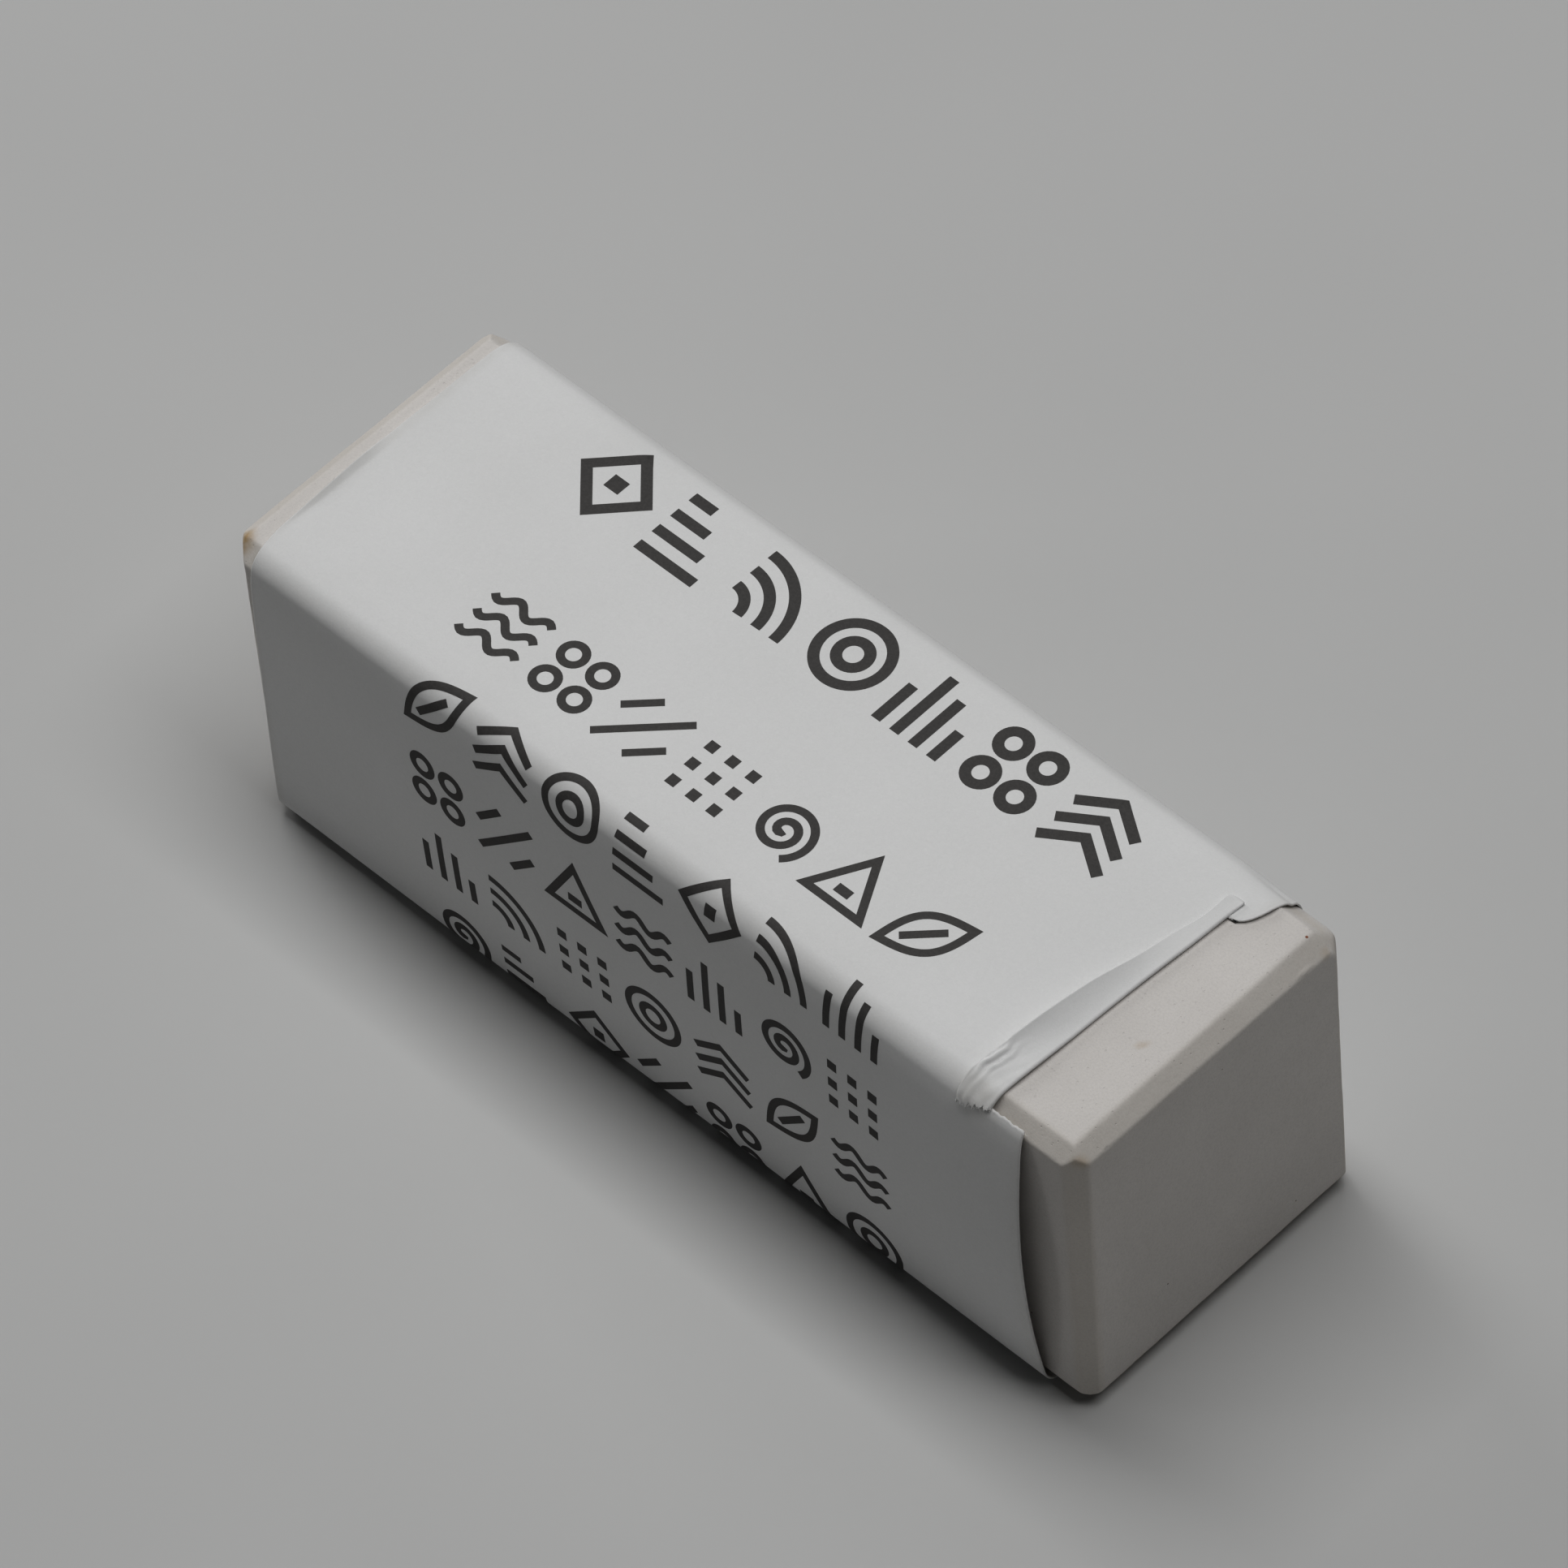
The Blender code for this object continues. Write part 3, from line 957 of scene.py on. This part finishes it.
def ring(cx, cy, radius):
    return path(*polar(cx, cy, radius, np.linspace(0, 2 * pi, 48, endpoint=False)), closed=True)


def wave(y):
    x = np.linspace(0.02, 0.98, 40)
    return path(*zip(x, y + 0.085 * np.sin(x * 4 * pi)))


def spiral():
    angles = np.linspace(0.6, 4.3 * pi, 90)
    return path(*polar(0.5, 0.5, 0.46 * angles / angles[-1], angles))


def leaf():
    """A pointed oval whose tips are at the unit square's lower left and upper right."""
    diagonal = np.linspace(0.06, 0.94, 24)
    along = np.stack([diagonal, diagonal[::-1]], -1)
    side = 0.21 * np.sin(np.linspace(0, pi, 24))[:, None]
    return path(*(along + side), *(along - side)[-2:0:-1], closed=True)


# Plain ornaments in a unit square. None of them is a letter.
ORNAMENTS = {
    "steps": [path((0.04, y), (0.34 + 0.62 * y, y)) for y in (0.07, 0.36, 0.65, 0.94)],
    "posts": [path((x, 0.98), (x, top))
              for x, top in ((0.08, 0.38), (0.36, 0.02), (0.64, 0.2), (0.92, 0.52))],
    "slants": [path((0.02, 0.42), (0.42, 0.02)), path((0.02, 0.98), (0.98, 0.02)),
               path((0.58, 0.98), (0.98, 0.58))],
    "dots": [path((x - 0.08, y), (x + 0.08, y), weight=1.4)
             for x in (0.14, 0.5, 0.86) for y in (0.14, 0.5, 0.86)],
    "target": [ring(0.5, 0.5, 0.44), ring(0.5, 0.5, 0.19)],
    "diamond": [path((0.5, 0.02), (0.97, 0.5), (0.5, 0.98), (0.03, 0.5), closed=True),
                path((0.5, 0.40), (0.5, 0.60), weight=1.6)],
    "roofs": [path((0.04, y + 0.30), (0.5, y), (0.96, y + 0.30)) for y in (0.06, 0.36, 0.66)],
    "waves": [wave(0.16), wave(0.5), wave(0.84)],
    "fan": [arc(0.06, 0.94, radius, 270, 360) for radius in (0.30, 0.58, 0.86)],
    "rings": [ring(x, y, 0.17) for x in (0.24, 0.76) for y in (0.24, 0.76)],
    "leaf": [leaf(), path((0.26, 0.74), (0.70, 0.30))],
    "peak": [path((0.5, 0.06), (0.97, 0.92), (0.03, 0.92), closed=True),
             path((0.38, 0.70), (0.62, 0.70), weight=1.2)],
    "spiral": [spiral()],
}
HEADING_ORNAMENTS = ["diamond", "steps", "fan", "target", "posts", "rings", "roofs"]
ROW_ORNAMENTS = [
    ["waves", "rings", "slants", "dots", "spiral", "peak", "leaf"],
    ["leaf", "roofs", "target", "steps", "diamond", "fan", "posts"],
    ["rings", "slants", "peak", "waves", "posts", "spiral", "dots"],
    ["posts", "fan", "dots", "target", "roofs", "leaf", "waves"],
    ["spiral", "steps", "diamond", "slants", "rings", "peak", "target"],
]


def unit_steps(line, closed):
    """The directions in which a line of points arrives at and leaves each of its points."""
    ahead = np.roll(line, -1, axis=0) - line
    if not closed:
        ahead[-1] = ahead[-2]
    ahead /= np.linalg.norm(ahead, axis=1)[:, None]
    behind = np.roll(ahead, 1, axis=0)
    if not closed:
        behind[0] = ahead[0]
    return behind, ahead


def stroke_outline(stroke, layout):
    """A stroke's points in millimetres from its cell's corner, and the offset to its left edge."""
    points, closed, weight = stroke
    width = layout["stroke"] * weight
    corners = points * np.array([layout["width"], layout["height"]])
    behind, ahead = unit_steps(corners, closed)
    turn = np.arccos(np.clip(np.sum(behind * ahead, axis=1), -1, 1))
    if closed:
        corners = np.vstack([corners, corners[:1]])
        turn = np.append(turn, turn[0])
    sharp = turn > SHARP_TURN
    reach = np.append(0, np.cumsum(np.linalg.norm(np.diff(corners, axis=0), axis=1)))
    clear = np.where(sharp, MITRE_CLEARANCE * width * np.tan(turn / 2), 0)
    marks = sorted({0, len(corners) - 1, *np.flatnonzero(sharp)})
    stops = []
    for one, two in zip(marks, marks[1:]):
        first, last = reach[one] + clear[one], reach[two] - clear[two]
        between = np.linspace(first, last, int((last - first) / STROKE_CELL) + 3)
        stops.append(reach[one])
        stops.extend(between[int(not sharp[one]):len(between) - int(not sharp[two])])
    if not closed:
        stops.append(reach[-1])
    line = np.stack([np.interp(stops, reach, corners[:, axis]) for axis in range(2)], -1)
    behind, ahead = unit_steps(line, closed)
    across = np.stack([-(behind + ahead)[:, 1], (behind + ahead)[:, 0]], -1)
    across /= 1 + np.sum(behind * ahead, axis=1)[:, None]
    return line, across * width


def refined(rows, closed):
    """Add rows between those that are more than a cell apart, as they are at a mitred corner."""
    if closed:
        rows = np.vstack([rows, rows[:1]])
    spans = np.linalg.norm(np.diff(rows, axis=0), axis=2).max(axis=1)
    fine = [rows[:1]]
    for one, two, span in zip(rows, rows[1:], spans):
        share = np.linspace(0, 1, int(span / STROKE_CELL) + 2)[1:, None, None]
        fine.append(one + (two - one) * share)
    fine = np.concatenate(fine)
    return fine[:-1] if closed else fine


def lay_stroke(sheets, stroke, layout, corner_x, corner_s):
    """Print one stroke on the sheet: a closed ribbon that follows the paper's outer surface."""
    closed = stroke[1]
    line, across = stroke_outline(stroke, layout)
    ribbon = line[:, None] + across[:, None] * np.linspace(-0.5, 0.5, STROKE_COLUMNS)[:, None]
    ribbon = refined(ribbon, closed)
    x, s = corner_x + ribbon[..., 0] * MM, corner_s + ribbon[..., 1] * MM
    surface, normal = sheet_point(s, x), sheet_normal(s, x)
    top = sheets.add_points(surface + normal * (PAPER + INK))
    under = sheets.add_points(surface + normal * (PAPER - INK_DEPTH))
    if closed:
        top, under = np.vstack([top, top[:1]]), np.vstack([under, under[:1]])
    else:
        sheets.add_faces(np.stack([top[0], under[0]], -1))
        sheets.add_faces(np.stack([under[-1], top[-1]], -1))
    sheets.add_faces(top)
    sheets.add_faces(under[:, ::-1])
    sheets.add_faces(np.stack([under[:, 0], top[:, 0]], -1))
    sheets.add_faces(np.stack([top[:, -1], under[:, -1]], -1))


def point_outwards(work):
    bmesh.ops.recalc_face_normals(work, faces=work.faces)


def print_row(name, ornaments, layout, row_s, material):
    """One row of ornaments, side by side along the bar."""
    sheets = Sheets()
    row_x = layout["x"] * MM + SHEET_SKEW * row_s
    corner_s = row_s - layout["height"] / 2 * MM
    for cell, ornament in enumerate(ornaments):
        centre_x = row_x + (cell - (len(ornaments) - 1) / 2) * layout["pitch"] * MM
        corner_x = centre_x - layout["width"] / 2 * MM
        for stroke in ORNAMENTS[ornament]:
            lay_stroke(sheets, stroke, layout, corner_x, corner_s)
    mesh = sheets.mesh(name)
    rework(mesh, point_outwards)
    new_piece(name, mesh, material, "sleeve")


def build_print():
    material = ink_material()
    print_row("print_heading", HEADING_ORNAMENTS, HEADING, HEADING["s"] * MM, material)
    for row, ornaments in enumerate(ROW_ORNAMENTS):
        row_s = (BODY["s"] + row * ROW_PITCH) * MM
        print_row(f"print_row_{row + 1}", ornaments, BODY, row_s, material)


# -------- paste

PASTE_MARGIN = 0.5 * MM            # from the paste to the flaps' edges
PASTE_WAVE = 0.25 * MM             # how uneven its edges are
PASTE_ENDS = (0.9 * MM, 1.1 * MM)  # from the sleeve's ends
PASTE_GRID = (15, 160)             # across it and along it


def build_paste():
    """The strip of dried paste between the two flaps, with uneven edges."""
    across, along = PASTE_GRID
    x = np.linspace(SLEEVE_LOW.x + PASTE_ENDS[0], SLEEVE_HIGH.x - PASTE_ENDS[1], along)
    low = INNER_EDGE_S + PASTE_MARGIN
    low = low + PASTE_WAVE * np.sin(x / (3.1 * MM)) * np.sin(x / (1.3 * MM) + 1)
    high = INNER_EDGE_S + 2 * SEAM_HALF - PASTE_MARGIN
    high = high + PASTE_WAVE * np.sin(x / (2.3 * MM) + 2) * np.sin(x / (1.1 * MM))
    sheets = Sheets()
    s = low + (high - low) * np.linspace(0, 1, across)[:, None]
    sheets.add_faces(sheets.add_points(sheet_point(s, x, PAPER)))
    paste = new_piece("seam_paste", sheets.mesh("seam_paste"), paste_material(), "sleeve")
    thicken(paste, PASTE)
    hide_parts("seam_glue")


# -------- studio

CAMERA_PLACE = Vector((0.3628, -0.3206, 0.63595 + STONE_LOW.z))
CAMERA_AIM = Vector((-0.002485, 0.002467, 0.015677 + STONE_LOW.z))
CAMERA_ROLL = radians(-5.57)
CAMERA_LENS = 284.65  # in millimetres, as is the sensor
CAMERA_SENSOR = 36.0
FLOOR_SIZE = 3.2
ROOM_COLOR = (0.92, 0.96, 1.0, 1.0)
ROOM_STRENGTH = 0.02


def build_floor():
    bpy.ops.mesh.primitive_plane_add(size=FLOOR_SIZE, location=(0, 0, 0))
    floor = bpy.context.object
    floor.name = "floor"
    floor.data.materials.append(floor_material())


def area_light(name, place, aim, size, power):
    """A soft rectangular light of size (width, height) at place, turned towards aim."""
    light = bpy.data.lights.new(name, "AREA")
    light.shape = "RECTANGLE"
    light.size, light.size_y = size
    light.energy = power
    lamp = bpy.data.objects.new(name, light)
    lamp.location = place
    lamp.rotation_euler = (Vector(aim) - Vector(place)).to_track_quat("-Z", "Y").to_euler()
    bpy.context.scene.collection.objects.link(lamp)


def build_lights():
    """A long soft box overhead, one beyond the covered end, and a weak one low at the front."""
    scene = bpy.context.scene
    area_light("key_light", place=(0.0, 0.10, 0.80), aim=(0, 0, 0.01), size=(1.00, 0.30), power=3.45)
    area_light("far_light", place=(-0.75, 0.12, 0.30), aim=(0, 0, 0.02), size=(0.30, 0.30), power=1.0)
    area_light("front_light", place=(-0.54, -0.50, 0.18), aim=(0, 0, 0.01), size=(0.12, 0.12), power=0.20)
    world = bpy.data.worlds.new("room")
    world.use_nodes = True
    background = world.node_tree.nodes["Background"]
    background.inputs["Color"].default_value = ROOM_COLOR
    background.inputs["Strength"].default_value = ROOM_STRENGTH
    scene.world = world
    scene.view_settings.view_transform = "Standard"
    scene.view_settings.look = "High Contrast"


def build_camera():
    data = bpy.data.cameras.new("camera")
    data.lens = CAMERA_LENS
    data.sensor_width = CAMERA_SENSOR
    data.clip_start, data.clip_end = 0.05, 10.0
    camera = bpy.data.objects.new("camera", data)
    camera.location = CAMERA_PLACE
    look = (CAMERA_AIM - CAMERA_PLACE).to_track_quat("-Z", "Y")
    camera.rotation_mode = "QUATERNION"
    camera.rotation_quaternion = look @ Quaternion((0, 0, 1), CAMERA_ROLL)
    bpy.context.scene.collection.objects.link(camera)
    bpy.context.scene.camera = camera


def main():
    build_camera()
    build_stone()
    paper = paper_material()
    build_sleeve(paper)
    build_fibres(paper)
    build_print()
    build_paste()
    build_floor()
    build_lights()


main()
